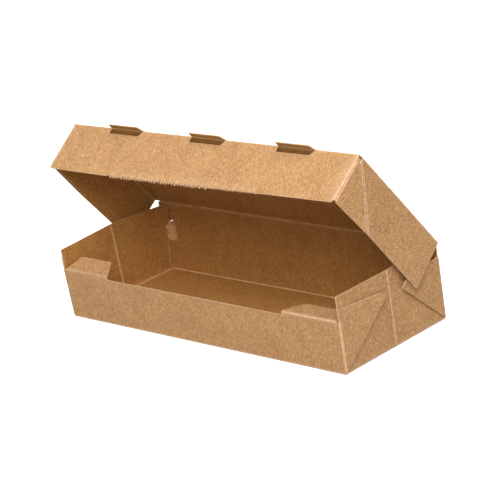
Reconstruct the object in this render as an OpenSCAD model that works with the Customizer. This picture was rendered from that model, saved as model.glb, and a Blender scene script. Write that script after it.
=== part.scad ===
/* [Board] */
// Thickness of the kraft board
board = 0.5; // [0.35:0.05:0.8]
// Width of the cuts round the tabs
cut_w = 0.15; // [0.05:0.05:0.5]

/* [Tray] */
// Width across the end walls at the floor
tray_w = 200; // [150:1:260]
// Depth from the front wall's face to the back wall's face
tray_d = 73; // [64:0.5:130]
// Height of the end walls
tray_h = 40; // [38:0.5:60]
// How far each end wall leans out at its top
end_splay = 1.3; // [0.5:0.1:3]
// Height of the fold line that carries the tuck flaps
front_h = 27; // [20:0.5:30]
// How much lower the front wall's middle edge is than that fold line
front_drop = 1.5; // [0.5:0.1:4]
// Gap between an end wall's front edge and the front wall
butt_gap = 0.1; // [0.05:0.05:0.5]

/* [End walls] */
// How far the rear top corner of an end wall leans into the tray
rear_lean = 8.3; // [2:0.1:9]
// How strongly that lean gathers towards the rear edge
lean_curve = 1.7; // [1:0.1:3]
// Slit between an end wall's rear edge and the back wall
rear_slit = 0.9; // [0.3:0.1:3]
// Radius of the end walls' top corners
end_corner_r = 1.5; // [0.5:0.1:4]
// Depth of the scored crease in the middle of each end wall
score_depth = 0.15; // [0.05:0.05:0.2]

/* [Corner flaps] */
// Height of the corner flaps at the corner
flap_h = 33.5; // [31:0.5:36]
// How much the top edge of a corner flap falls towards its tip
flap_fall = 2.2; // [0:0.1:5]
// Length of the glued front flaps
front_flap_l = 32.6; // [15:0.1:36]
// Length of the loose rear flaps
rear_flap_l = 30; // [15:0.1:36]
// Length cut off the flaps' tips
flap_blunt = 3.6; // [1:0.1:8]
// Height cut off the flaps' tips
flap_blunt_h = 2.9; // [1:0.1:6]
// Height of the flaps' lower corner above the table
flap_foot = 1.2; // [0.8:0.1:4]
// How far a loose rear flap springs away from its end wall at the tip
flap_lift = 0.3; // [0:0.05:0.4]

/* [Locking tabs in the back wall] */
// Radius of the half-round tabs
lock_r = 6; // [3:0.1:8]
// Distance from the tray's corner to a tab's bend
lock_inset = 9.2; // [8.5:0.1:14]
// Height of the middle of a tab
lock_h = 24; // [16:0.5:30]
// Angle at which a tab is pushed in
lock_angle = 40; // [10:1:60]

/* [Tuck flaps on the front wall] */
// Width of the left tuck flap along its fold
left_tuck_w = 32.5; // [20:0.5:60]
// Width of the right tuck flap along its fold
right_tuck_w = 35.5; // [20:0.5:60]
// Depth of both tuck flaps
tuck_depth = 11; // [5:0.1:12]
// Distance from the tray's corner to a tuck flap
tuck_inset = 1.2; // [0.8:0.1:4]
// Slant of a tuck flap's inner side
tuck_inner_slant = 27; // [0:1:40]
// Slant of a tuck flap's outer side
tuck_outer_slant = 14; // [5:1:40]
// Radius of a tuck flap's free corners
tuck_r = 1.2; // [0.5:0.1:3]
// Angle of the left tuck flap above level
left_tuck_angle = 22; // [-80:1:80]
// Angle of the right tuck flap above level
right_tuck_angle = 4; // [-80:1:80]

/* [Lid] */
// Angle by which the lid stands open
lid_open = 54; // [0:1:120]
// Height of the lid from its top to the skirt's edge
lid_h = 27.2; // [15:0.1:34]
// Free space between the tray's flaps and the lid's glue flaps, on each side
lid_side_gap = 0.5; // [0.3:0.1:3]
// Free space between the front wall and the skirt
lid_front_gap = 0.5; // [0.3:0.1:3]
// Free space between the end walls' tops and the closed lid
lid_top_gap = 0.2; // [0.15:0.05:1]
// Free space on each side of a folding line that moves
fold_gap = 0.15; // [0.1:0.05:0.5]
// How far the lid's end walls stop short of the skirt
lid_end_setback = 1.2; // [0.6:0.1:4]
// How much shallower the lid's end walls are at the skirt than at the back
lid_end_rise = 1.2; // [0:0.1:3]
// How far the lid's end walls spring out at their free rear corner
lid_end_flare = 2.4; // [0:0.1:4]
// Length of the lid's glue flaps
glue_flap_l = 27; // [12:0.5:34]
// How far below the fold line a glue flap starts at the skirt
glue_flap_start = 1.2; // [0.8:0.1:3]
// How far below the fold line a glue flap starts at its free end
glue_flap_drop = 9; // [4:0.5:10]
// How far a glue flap's lower edge stays above the edge of the lid's end wall
glue_flap_rise = 0.5; // [0.3:0.1:3]

/* [Tabs in the lid's front fold] */
// Number of tabs
tab_count = 3; // [1:1:3]
// Distance from one tab to the next
tab_pitch = 61.2; // [30:0.1:64]
// Width of a tab
tab_w = 22.6; // [10:0.1:26]
// Depth of a tab and of the notch that it leaves
tab_depth = 3.6; // [2:0.1:5]
// Length of a tab's point
tab_point = 2.6; // [0.5:0.1:4]

/* [Torn edge of the skirt] */
// Distance from one tooth to the next
tooth_pitch = 2.1; // [1:0.1:6]
// Depth of a tooth
tooth_depth = 0.7; // [0.3:0.1:2]
// Length of the toothed part
tooth_run = 105; // [50:1:130]

/* [Hidden] */
kraft = [0.74, 0.55, 0.36];
// overlap where two folded pieces of the same sheet run into each other
bite = 0.05;
// facets: of a rounded corner or fold, of an end wall's bent half, and of a whole circle
arc_steps = 5;
lean_steps = 9;
$fn = 48;
front_y = -tray_d / 2;
back_y = tray_d / 2;
// the crease stands at mid depth, measured from the front wall's face
crease_s = tray_d / 2;
rear_s = tray_d - board - rear_slit;
// the lid folds about the middle of the back wall's rounded top edge
lid_axis_y = back_y - board / 2;
lid_axis_z = tray_h + board / 2 + lid_top_gap;
// the tuck flaps fold about the front wall's inner top corner, so that they can hang flat behind it
tuck_axis_y = front_y + board;
// a folding panel starts this far from its axis, clear of the rounded edge that it turns round
fold_start = board / 2 + fold_gap;
// the lid is sized by what it closes over
lid_out = tray_w / 2 + end_splay + lid_side_gap + 3 * board;
lid_in = lid_out - board;
skirt_x = lid_out - 2 * board;
lid_d = tray_d - board / 2 + lid_front_gap + board;
lid_low = board / 2 - lid_h;
glue_low = board - lid_h + lid_end_rise + glue_flap_rise;
// small curves of the lid's end walls: relief at the skirt, and the corner at the hinge
relief = 3;
relief_r = 0.4;
relief_bend_r = 1.5;
lid_rear_r = 1;
// front edge and front lower corner of the lid's end walls; their diagonal creases run back from that edge's
// top at 45 degrees, to a foot on the lower edge this far behind it
end_front_y = lid_end_setback + board - lid_d;
end_low = lid_low + lid_end_rise;
crease_foot = (-board / 2 - end_low) / (1 + lid_end_rise / (fold_start + end_front_y));

function unit(v) = v / norm(v);
function slerp(a, b, k, turn) = (a * sin((1 - k) * turn) + b * sin(k * turn)) / sin(turn);
// points of an arc of radius r that rounds the corner b between a and c
function corner(a, b, c, r) =
    r <= 0 ? [b] :
    let (u = unit(a - b), w = unit(c - b), half = acos(u * w) / 2)
    let (mid = b + unit(u + w) * r / sin(half))
    let (p = b + u * r / tan(half) - mid, q = b + w * r / tan(half) - mid)
    [for (k = [0:arc_steps]) mid + slerp(p, q, k / arc_steps, 180 - 2 * half)];
// outline through points [x, y, radius]
function rounded(path) =
    let (n = len(path), xy = [for (p = path) [p[0], p[1]]])
    [for (i = [0:n - 1]) each corner(xy[(i + n - 1) % n], xy[i], xy[(i + 1) % n], path[i][2])];
function arc(r, from, to) =
    [for (k = [0:arc_steps]) let (a = from + (to - from) * k / arc_steps) r * [cos(a), sin(a)]];
function mirrored(points) = [for (i = [len(points) - 1:-1:0]) [-points[i][0], points[i][1]]];

// outward shift of an end wall at distance s behind the front face and height h
function splay(h) = end_splay * h / tray_h;
// inward shift of its rear half, which bends as a cone with its point at the floor's rear corner
function lean(s, h) =
    let (k = h / tray_h, top_s = k > 0 ? rear_s + (s - rear_s) / k : crease_s)
    top_s <= crease_s ? 0 : k * rear_lean * pow((top_s - crease_s) / (rear_s - crease_s), lean_curve);

// outward shift of the lid's end wall: it hinges on the skirt's edge ahead of its crease, on the top panel behind it
function flare(y, z) = lid_end_flare * min(-board / 2 - z, y - end_front_y) / (lid_h - board);

// a piece of board at the right-hand end: a fan of flat facets from the outline's last point
module end_sheet(outline, base, shift, start_y = front_y) {
    n = len(outline);
    inner = [for (i = [0:n - 1]) [base + shift[i], outline[i][0] + start_y, outline[i][1]]];
    outer = [for (p = inner) p + [board, 0, 0]];
    fan = [for (i = [0:n - 3]) [n - 1, i, i + 1]];
    polyhedron(
        points = concat(inner, outer),
        faces = concat(
            fan,
            [for (f = fan) [n + f[0], n + f[2], n + f[1]]],
            [for (i = [0:n - 1]) let (j = (i + 1) % n) [i, n + i, n + j, j]]
        )
    );
}

// a solid between two outlines in plan, at heights z0 and z1
module loft(lower, upper, z0, z1) {
    n = len(lower);
    polyhedron(
        points = concat([for (p = lower) [p[0], p[1], z0]], [for (p = upper) [p[0], p[1], z1]]),
        faces = concat(
            [[for (i = [0:n - 1]) i]],
            [[for (i = [n - 1:-1:0]) n + i]],
            [for (i = [0:n - 1]) let (j = (i + 1) % n) [i, n + i, n + j, j]]
        )
    );
}

// an outline in (x, z) as a piece of board that fills y to y + board
module upright_sheet(outline, y) {
    translate([0, y + board, 0]) rotate([90, 0, 0]) linear_extrude(board) polygon(outline);
}

// an outline in (y, z) as a solid from x0 to x1
module along_x(outline, x0, x1) {
    translate([x0, 0, 0]) rotate([90, 0, 90]) linear_extrude(x1 - x0) polygon(outline);
}

// an outline in (x, z) as a solid from y0 to y1
module along_y(outline, y0, y1) {
    translate([0, y1, 0]) rotate([90, 0, 0]) linear_extrude(y1 - y0) polygon(outline);
}

// section of the floor with the rounded folds at both ends of a span
function floor_section(span) =
    let (bend = [for (p = arc(board, 270, 360)) p + [span / 2 - board, board]])
    concat(mirrored(bend), bend);

module both_ends() {
    children();
    mirror([1, 0, 0]) children();
}

module floor_panel() {
    inside_w = tray_w / 2 - board;
    inside_d = tray_d / 2 - board - bite;
    along_x(floor_section(tray_d), -inside_w, inside_w);
    along_y(floor_section(tray_w), -inside_d, inside_d);
}

// half-round cap on the board's edge at a folding line
module fold_cap(x0, x1, y, z) {
    along_x([for (p = arc(board / 2, 0, 180)) p + [y, z]], x0, x1);
}

module front_wall() {
    left_x = left_tuck_w + tuck_inset - tray_w / 2;
    right_x = tray_w / 2 - right_tuck_w - tuck_inset;
    top_x = tray_w / 2 + splay(front_h);
    low = front_h - front_drop;
    upright_sheet([
        [-tray_w / 2, board], [tray_w / 2, board], [top_x, front_h],
        [right_x, front_h], [right_x - front_drop / 2, low],
        [left_x + front_drop / 2, low], [left_x, front_h], [-top_x, front_h]
    ], front_y);
    fold_cap(-tray_w / 2, left_x, front_y + board / 2, front_h);
    fold_cap(right_x, tray_w / 2, front_y + board / 2, front_h);
}

module back_wall() {
    top_x = tray_w / 2 + splay(lid_axis_z);
    difference() {
        upright_sheet(rounded([
            [-tray_w / 2, board, 0], [tray_w / 2, board, 0],
            [top_x, lid_axis_z, end_corner_r], [-top_x, lid_axis_z, end_corner_r]
        ]), back_y - board);
        both_ends() lock_hole();
    }
    fold_cap(end_corner_r - top_x, top_x - end_corner_r, lid_axis_y, lid_axis_z);
    both_ends() lock_tab();
}

module lock_hole() {
    translate([tray_w / 2 - lock_inset, back_y + bite, lock_h])
    rotate([90, 0, 0])
    linear_extrude(board + 2 * bite)
    intersection() {
        circle(r = lock_r + cut_w);
        translate([0, -2 * lock_r]) square(4 * lock_r);
    }
}

// half-round tab, pushed in from the back so that it props the end wall's rear edge
module lock_tab() {
    translate([tray_w / 2 - lock_inset, back_y - board, lock_h]) {
        translate([0, 0, -lock_r])
            linear_extrude(2 * lock_r)
            polygon(concat([[-bite, 0]], arc(board, 90 - lock_angle, 90), [[-bite, board]]));
        rotate([0, 0, -lock_angle])
            translate([0, board, 0])
            rotate([90, 0, 0])
            linear_extrude(board)
            intersection() {
                circle(r = lock_r);
                translate([-bite, -2 * lock_r]) square(4 * lock_r);
            }
    }
}

// outline of an end wall; the last point is the rear corner at the floor
function end_outline() =
    let (s0 = board + butt_gap, bent = rear_s - end_corner_r - crease_s)
    rounded(concat(
        [[rear_s, tray_h, end_corner_r]],
        [for (k = [lean_steps - 1:-1:0]) [crease_s + bent * k / lean_steps, tray_h, 0]],
        [[s0, tray_h, end_corner_r], [s0, board, 0], [rear_s, board, 0]]
    ));

module end_wall() {
    outline = end_outline();
    difference() {
        end_sheet(outline, tray_w / 2 - board, [for (p = outline) splay(p[1]) - lean(p[0], p[1])]);
        crease_score();
    }
}

// shallow groove down the outside of an end wall
module crease_score() {
    groove = score_depth * sqrt(2);
    translate([tray_w / 2, crease_s + front_y, 0])
        rotate([0, atan(end_splay / tray_h), 0])
        rotate([0, 0, 45])
        translate([-groove / 2, -groove / 2, board])
        cube([groove, groove, 2 * tray_h]);
}

// quarter-round fold between the front or back wall and a corner flap
module corner_fold(top) {
    section = concat([[-bite, 0]], [[-bite, -board]], arc(board, 270, 360));
    place = [tray_w / 2, front_y + board];
    loft(
        [for (p = section) p + place + [splay(flap_foot), 0]],
        [for (p = section) p + place + [splay(top), 0]],
        flap_foot, top
    );
}

// corner flap in (distance from the corner, height), tip cut blunt
function flap_outline(length) =
    let (tip_h = flap_h - flap_fall)
    [
        [length - flap_blunt, tip_h], [board - bite, flap_h],
        [board - bite, flap_foot], [board + bite, flap_foot], [length, tip_h - flap_blunt_h]
    ];

module front_flap() {
    outline = flap_outline(front_flap_l);
    corner_fold(front_h);
    end_sheet(outline, tray_w / 2, [for (p = outline) splay(p[1])]);
}

// the rear flap is the same cut turned round, and springs away a little at its tip
module rear_flap() {
    outline = flap_outline(rear_flap_l);
    mirror([0, 1, 0]) {
        corner_fold(flap_h);
        end_sheet(outline, tray_w / 2, [for (p = outline) splay(p[1]) + flap_lift * p[0] / rear_flap_l]);
    }
}

module tray() {
    color(kraft) {
        floor_panel();
        front_wall();
        back_wall();
        both_ends() {
            end_wall();
            front_flap();
            rear_flap();
        }
    }
}

// a tuck flap with its fold on the x axis, its outer side at x = 0 and its inner side at x = width
module tuck_flap(width) {
    inner = tuck_depth * tan(tuck_inner_slant);
    outer = tuck_depth * tan(tuck_outer_slant);
    linear_extrude(board)
        polygon(rounded([
            [0, fold_start, 0], [width, fold_start, 0],
            [width - inner, tuck_depth, tuck_r], [outer, tuck_depth, tuck_r]
        ]));
}

module left_tuck_flap() {
    color(kraft)
        translate([tuck_inset - tray_w / 2, tuck_axis_y, front_h])
        rotate([left_tuck_angle, 0, 0])
        tuck_flap(left_tuck_w);
}

module right_tuck_flap() {
    color(kraft)
        translate([tray_w / 2 - tuck_inset, tuck_axis_y, front_h])
        rotate([right_tuck_angle, 0, 0])
        mirror([1, 0, 0])
        tuck_flap(right_tuck_w);
}

// the lid is drawn shut, with its folding axis on the x axis and its top panel level
tab_places = [for (i = [0:tab_count - 1]) (i - (tab_count - 1) / 2) * tab_pitch];
fold_y = board - lid_d;

module top_panel() {
    translate([0, 0, -board / 2])
        linear_extrude(board)
        polygon([[-lid_in, fold_y], [lid_in, fold_y], [lid_in, -fold_start], [-lid_in, -fold_start]]);
}

// quarter-round fold along the front of the lid, left out where the tabs run straight on
module front_fold() {
    notches = [for (x = tab_places) each [x - tab_w / 2, x + tab_w / 2 + tab_point]];
    edges = concat([-skirt_x], notches, [skirt_x]);
    bend = concat([[bite, 0], [bite, board]], arc(board, 90, 180), [[-board, -bite], [0, -bite], [0, 0]]);
    for (i = [0:2:len(edges) - 1])
        along_x([for (p = bend) p + [fold_y, -board / 2]], edges[i], edges[i + 1]);
}

module side_fold() {
    bend = concat(arc(board, 0, 90), [[-bite, board], [-bite, 0]]);
    along_y([for (p = bend) p + [lid_in, -board / 2]], lid_end_setback - lid_d + board, -fold_start);
}

// a tab that stays level with the top panel: square at one end and pointed at the other
module front_tab() {
    half = tab_w / 2;
    translate([0, 0, -board / 2])
        linear_extrude(board)
        polygon([
            [cut_w - half, fold_y + bite], [cut_w - half, fold_y - tab_depth], [half, fold_y - tab_depth],
            [half + tab_point - cut_w, fold_y], [half + tab_point - cut_w, fold_y + bite]
        ]);
}

// the skirt hangs from its fold, and is drawn with that fold at the origin
module skirt() {
    notch = board - tab_depth;
    edge = board - lid_h;
    teeth = floor(tooth_run / tooth_pitch);
    first = -teeth * tooth_pitch / 2;
    teeth_points = [
        for (i = [0:teeth - 1]) each [
            [first + i * tooth_pitch, edge],
            [first + (i + 0.5) * tooth_pitch, edge + tooth_depth]
        ]
    ];
    translate([0, fold_y, -board / 2]) {
        difference() {
            upright_sheet(concat(
                [[-skirt_x, 0], [-skirt_x, edge]], teeth_points,
                [[-first, edge], [skirt_x, edge], [skirt_x, 0]]
            ), -board);
            for (x = tab_places)
                translate([x, 0, 0])
                    along_y([
                        [-tab_w / 2, board], [-tab_w / 2, notch], [tab_w / 2, notch],
                        [tab_w / 2 + tab_point, 0], [tab_w / 2 + tab_point, board]
                    ], -2 * board, board);
        }
        both_ends()
            translate([skirt_x, 0, glue_low])
            linear_extrude(-glue_flap_start - glue_low)
            polygon(concat([[-bite, 0], [-bite, -board]], arc(board, 270, 360)));
    }
}

// end wall of the lid, folded a little at the diagonal crease that lets the lid collapse
module lid_end() {
    notch_y = end_front_y + relief / 2;
    outline = rounded([
        [-fold_start, lid_low, lid_rear_r], [-fold_start, -board / 2, 0],
        [notch_y, -board / 2, 0], [notch_y, -(board + relief) / 2, 0], [notch_y, -relief, relief_r],
        [end_front_y, -relief * 4 / 3, relief_bend_r], [end_front_y, end_low, relief],
        [end_front_y + crease_foot, -board / 2 - crease_foot, 0]
    ]);
    end_sheet(outline, lid_in, [for (p = outline) flare(p[0], p[1])], 0);
}

// glue flap of the skirt, stuck to the inside of the lid's end wall and creased with it
module glue_flap() {
    top = -glue_flap_start - board / 2;
    low = glue_low - board / 2;
    fall = (glue_flap_drop - glue_flap_start) / glue_flap_l;
    // where the crease crosses the flap's top edge, behind the skirt
    cross = (lid_end_setback + glue_flap_start) / (1 - fall);
    outline = [for (p = [
        [glue_flap_l, low], [glue_flap_l, -glue_flap_drop - board / 2], [cross, top - fall * cross],
        [-bite, top], [-bite, low], [lid_end_setback - board / 2 - low, low]
    ]) [p[0] + fold_y, p[1]]];
    end_sheet(outline, skirt_x + bite, [for (p = outline) flare(p[0], p[1])], 0);
}

module lid() {
    color(kraft)
        translate([0, lid_axis_y, lid_axis_z])
        rotate([-lid_open, 0, 0]) {
            top_panel();
            front_fold();
            skirt();
            for (x = tab_places) translate([x, 0, 0]) front_tab();
            both_ends() {
                side_fold();
                lid_end();
                glue_flap();
            }
        }
}

tray();
lid();
left_tuck_flap();
right_tuck_flap();
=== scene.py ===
import math

import bpy
import numpy as np
from mathutils import Matrix, Vector
from mathutils.geometry import delaunay_2d_cdt


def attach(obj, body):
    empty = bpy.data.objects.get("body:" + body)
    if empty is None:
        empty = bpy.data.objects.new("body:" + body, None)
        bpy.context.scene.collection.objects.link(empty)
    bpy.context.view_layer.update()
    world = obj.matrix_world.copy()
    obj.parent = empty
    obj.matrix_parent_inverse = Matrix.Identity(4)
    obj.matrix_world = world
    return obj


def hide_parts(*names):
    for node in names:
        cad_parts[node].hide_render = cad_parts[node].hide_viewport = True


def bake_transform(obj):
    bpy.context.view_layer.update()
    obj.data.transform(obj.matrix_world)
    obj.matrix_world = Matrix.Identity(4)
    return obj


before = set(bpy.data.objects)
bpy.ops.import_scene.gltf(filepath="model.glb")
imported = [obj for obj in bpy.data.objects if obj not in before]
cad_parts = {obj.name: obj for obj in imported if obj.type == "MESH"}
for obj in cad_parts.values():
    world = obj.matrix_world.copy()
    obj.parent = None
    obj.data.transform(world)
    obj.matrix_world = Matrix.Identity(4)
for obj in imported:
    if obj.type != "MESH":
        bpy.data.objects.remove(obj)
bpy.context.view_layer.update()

# Tray
# Floor, walls and corner flaps are one die-cut sheet of unbleached kraft card, which is scored, folded up
# along the scores and glued at the front corners. The half-round tabs of the back wall are pushed in by
# hand, and prop the end walls.
mm = 0.001
# Thickness of the card, half the floor's length and depth from fold to fold, and the radius of a scored fold,
# in millimetres. The flat sheets are drawn with their inner side up.
board = 0.5
floor_half_x = 99.75
floor_half_y = 36.25
fold_radius = 0.45
# End walls: their height, the height over which the rear half leans in, its lean at the top and its curve,
# how far the walls slope out, their front and rear edges, their corners, and the rear edge's foot.
end_height = 39.55
lean_height = 40.0
rear_lean = 8.3
lean_curve = 1.25
end_slope = 1.3 / 40
end_front_y = 35.9
end_rear_y = 35.1
end_corner_r = 0.5
end_foot_x = 0.6
end_foot_rise = 3.0
end_foot_gap = 0.3
# The real box isn't true: its left end wall is lower by this much at the front, and at the crease by
# this share of it.
left_front_dip = 2.0
end_sag = 0.2
# Front wall: its height between the tuck flaps and at its ends.
front_low = 25.5
front_top = 27.0
# Tuck flaps: their spans, and the height and angle of their folds, with the cut beside their inner ends.
left_tuck_x = (-98.8, -66.3)
right_tuck_x = (63.3, 98.8)
left_tuck_fold = (27.17, math.radians(69))
right_tuck_fold = (27.23, math.radians(89))
tuck_cut = 0.75
fold_reach = 1.2
# Back wall: the lid's fold above the floor and half its length, and the height of the wall's corners.
hinge_z = 40.45
hinge_half_x = 99.8
back_corner_top = 39.9
back_corner_r = 0.45
# Corner flaps: their fold, the height of their foot, the notch below it, the heights of their top edge and
# blunt tip, and how far they reach and spring off the end walls.
corner_x = 100.5
wall_foot = 0.95
corner_notch = 0.2
flap_start = 0.3
flap_top = 33.5
flap_tip_top = 31.3
flap_tip_low = 28.4
front_flap_reach = 32.35
rear_flap_reach = 29.75
flap_blunt = 3.6
front_flap_spring = 0.9
rear_flap_spring = 1.8
# Half-round tabs: middle, radius, how far they are pushed in, and the width of the cut round them.
lock_x = 90.8
lock_y = floor_half_y - board / 2 + 24.0
lock_r = 6.0
lock_turn = math.radians(40)
slit = 0.15
# Pale lines: the creases of the end walls, worn and painted as a highlight, a painted highlight beside their
# rear edges, and painted light on the half-round tabs, which face the light.
crease_start = 1.0
crease_past = 0.2
highlight_inset = 0.45
highlight_height = 19
lit_tab_share = 0.45
# Spacing of the mesh's points, where rows of them lie beside edges and bends, and how near others come.
mesh_step = 4.0
edge_band = 0.5
edge_room = 0.3
bend_room = 0.6
grid_room = 0.4
# Half-width of a cracked crease, and the share of it that bends.
crack_reach = 1.8
crack_bend = 0.65
# How far before a fold line its bend may start, and the play with which the sheet's lines are told apart.
bend_band = 1.0
play = 0.05
# Millimetres of card to one unit of its UV map, and how far the felt is shifted where it lies turned.
felt_unit = 100
felt_shift = 3


def rounded(path, steps=5):
    """Outline through points (x, y, radius), with its corners rounded."""
    outline = []
    for i, (x, y, radius) in enumerate(path):
        if radius == 0:
            outline.append((x, y))
            continue
        here = np.array((x, y), float)
        before = np.array(path[i - 1][:2], float) - here
        after = np.array(path[(i + 1) % len(path)][:2], float) - here
        before /= np.linalg.norm(before)
        after /= np.linalg.norm(after)
        half = math.acos(float(before @ after)) / 2
        middle = here + (before + after) / np.linalg.norm(before + after) * radius / math.sin(half)
        first = here + before * radius / math.tan(half) - middle
        last = here + after * radius / math.tan(half) - middle
        turn = math.pi - 2 * half
        for k in range(steps + 1):
            part = k / steps
            spoke = first * math.sin((1 - part) * turn) + last * math.sin(part * turn)
            outline.append(tuple(middle + spoke / math.sin(turn)))
    return outline


def divided(start, end, step):
    """Points from start to end, about a step apart, with the end left out."""
    start, end = np.array(start, float), np.array(end, float)
    count = max(1, math.ceil(float(np.linalg.norm(end - start)) / step - 0.01))
    return [tuple(start + (end - start) * k / count) for k in range(count)]


def inside(points, segments):
    """Which points lie inside the outlines whose segments are given."""
    found = np.zeros(len(points), bool)
    for (ax, ay), (bx, by) in segments:
        if ay == by:
            continue
        crosses = (points[:, 1] > ay) != (points[:, 1] > by)
        found ^= crosses & (points[:, 0] < ax + (points[:, 1] - ay) * (bx - ax) / (by - ay))
    return found


def distance_to(points, start, end):
    """Distance of each point from the straight line between start and end."""
    start, way = np.array(start, float), np.array(end, float) - np.array(start, float)
    part = np.clip((points - start) @ way / (way @ way), 0, 1)
    return np.linalg.norm(points - start - part[:, None] * way, axis=1)


def fold_up(points, which, start, out, angle, radius=fold_radius):
    """Turns the points beyond a fold line to the board's inner side, round a bend of the given radius."""
    start, out = np.array(start, float), np.array(out, float) / np.linalg.norm(out)
    angle = np.broadcast_to(np.asarray(angle, float), len(points))[which]
    across = (points[which, :2] - start) @ out
    height = points[which, 2]
    reach = radius * np.tan(np.abs(angle) / 2)
    turn = np.clip((across + reach) / (2 * reach), 0, 1) * angle
    flat = across <= -reach
    beyond = across >= reach
    sign = np.sign(angle)
    moved = -reach + (radius - sign * height) * np.sin(np.abs(turn))
    lift = sign * (radius - (radius - sign * height) * np.cos(turn))
    moved = np.where(beyond, across * np.cos(angle) - height * np.sin(angle), moved)
    lift = np.where(beyond, across * np.sin(angle) + height * np.cos(angle), lift)
    moved = np.where(flat, across, moved)
    lift = np.where(flat, height, lift)
    points[which, :2] += np.outer(moved - across, out)
    points[which, 2] = lift


def kraft(name, tone, fibre_tone, crease_tone, edge_tone, cracked=1.0):
    """Unbleached kraft card: a warm brown felt of short fibres, paler where creased or worn and where
    highlights are painted.

    cracked says how strongly the raised cracks beside a crease show on this side of the board.
    """
    made = bpy.data.materials.new(name)
    made.use_nodes = True
    tree = made.node_tree
    shader = tree.nodes["Principled BSDF"]
    shader.inputs["Roughness"].default_value = 0.86
    shader.inputs["Specular IOR Level"].default_value = 0.28

    def node(kind, **values):
        new = tree.nodes.new(kind)
        for key, value in values.items():
            if key in new.inputs:
                if isinstance(value, bpy.types.NodeSocket):
                    tree.links.new(value, new.inputs[key])
                else:
                    new.inputs[key].default_value = value
            else:
                setattr(new, key, value)
        return new

    def noise(size_mm, stretch, turn, detail, roughness=0.55):
        """Noise of the given grain, drawn out by a factor along a direction in degrees."""
        placed = node("ShaderNodeMapping", Vector=flat.outputs["UV"], vector_type="TEXTURE")
        placed.inputs["Rotation"].default_value = (0, 0, math.radians(turn))
        placed.inputs["Scale"].default_value = (size_mm * stretch / felt_unit, size_mm / felt_unit, 1)
        pattern = node("ShaderNodeTexNoise", Vector=placed.outputs["Vector"], Scale=1.0, Detail=detail)
        pattern.inputs["Roughness"].default_value = roughness
        return pattern.outputs["Fac"]

    def ramp(value, low, high, to_low, to_high):
        """A value's stretch from low to high, spread from to_low to to_high and held beyond them."""
        mapped = node("ShaderNodeMapRange", Value=value)
        mapped.inputs["From Min"].default_value = low
        mapped.inputs["From Max"].default_value = high
        mapped.inputs["To Min"].default_value = to_low
        mapped.inputs["To Max"].default_value = to_high
        return mapped.outputs["Result"]

    def maths(operation, first, second):
        step = node("ShaderNodeMath", operation=operation)
        for socket, value in zip(step.inputs, (first, second)):
            if isinstance(value, bpy.types.NodeSocket):
                tree.links.new(value, socket)
            else:
                socket.default_value = value
        return step.outputs["Value"]

    def mix(factor, first, second, blend="MIX"):
        mixed = node("ShaderNodeMix", data_type="RGBA", blend_type=blend)
        for socket, value in ((mixed.inputs[0], factor), (mixed.inputs[6], first), (mixed.inputs[7], second)):
            if isinstance(value, bpy.types.NodeSocket):
                tree.links.new(value, socket)
            else:
                socket.default_value = value
        return mixed.outputs[2]

    # The felt: wide clouds, blotches and a fine mottle, with fibres that lie in three directions.
    flat = node("ShaderNodeUVMap", uv_map="flat")
    clouds = noise(22, 1.5, 70, 3)
    blotches = noise(5.5, 1.6, 75, 3)
    mottle = noise(0.85, 2.4, 84, 3, 0.65)
    fibres = maths("ADD", maths("ADD", noise(0.42, 5, 70, 3), noise(0.4, 6, 108, 3)), noise(0.5, 5, 20, 3))
    shade = maths("ADD", ramp(clouds, 0.3, 0.7, -0.07, 0.07), ramp(mottle, 0.3, 0.7, -0.3, 0.3))
    shade = maths("ADD", shade, ramp(blotches, 0.3, 0.7, -0.09, 0.09))
    shade = maths("ADD", shade, ramp(fibres, 1.15, 1.85, -0.3, 0.3))
    dark = [c * part for c, part in zip(tone, (0.60, 0.48, 0.34))]
    pale = [c * part for c, part in zip(tone, (1.38, 1.50, 1.75))]
    colour = mix(ramp(shade, -0.5, 0.5, 0, 1), (*dark, 1), (*pale, 1))
    # Dark flecks of bark and pale loose fibres.
    flecks = ramp(noise(0.7, 3, 60, 2), 0.66, 0.76, 0, 0.5)
    colour = mix(flecks, colour, (*[c * 0.42 for c in tone], 1))
    pale_flecks = ramp(noise(0.5, 6, 72, 2), 0.64, 0.76, 0, 0.6)
    colour = mix(pale_flecks, colour, (*fibre_tone, 1))
    # Scored lines, where the surface is broken and pale, with the painted highlights of folds and tabs.
    crease = node("ShaderNodeAttribute", attribute_name="crease").outputs["Fac"]
    broken = ramp(noise(2.2, 1.5, 0, 4), 0.32, 0.62, 0.45, 1)
    colour = mix(maths("MULTIPLY", maths("MULTIPLY", crease, broken), 0.75), colour, (*crease_tone, 1))
    # Two raised, wandering cracks, one to each side of a hard crease.
    crack = node("ShaderNodeAttribute", attribute_name="crack").outputs["Fac"]
    wander = maths("ADD", crack, ramp(noise(3.0, 1.0, 0, 4), 0.3, 0.7, -0.2, 0.2))
    on_crack = maths("GREATER_THAN", crack, 0.01)
    raised = maths("MULTIPLY", ramp(wander, 0.42, 0.6, 0, 1), ramp(wander, 0.74, 0.9, 1, 0.15))
    patchy = ramp(noise(1.6, 1.5, 0, 3), 0.35, 0.55, 0.35 * cracked, 0.95 * cracked)
    raised = maths("MULTIPLY", maths("MULTIPLY", raised, on_crack), patchy)
    colour = mix(raised, colour, (*crease_tone, 1))
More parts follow.
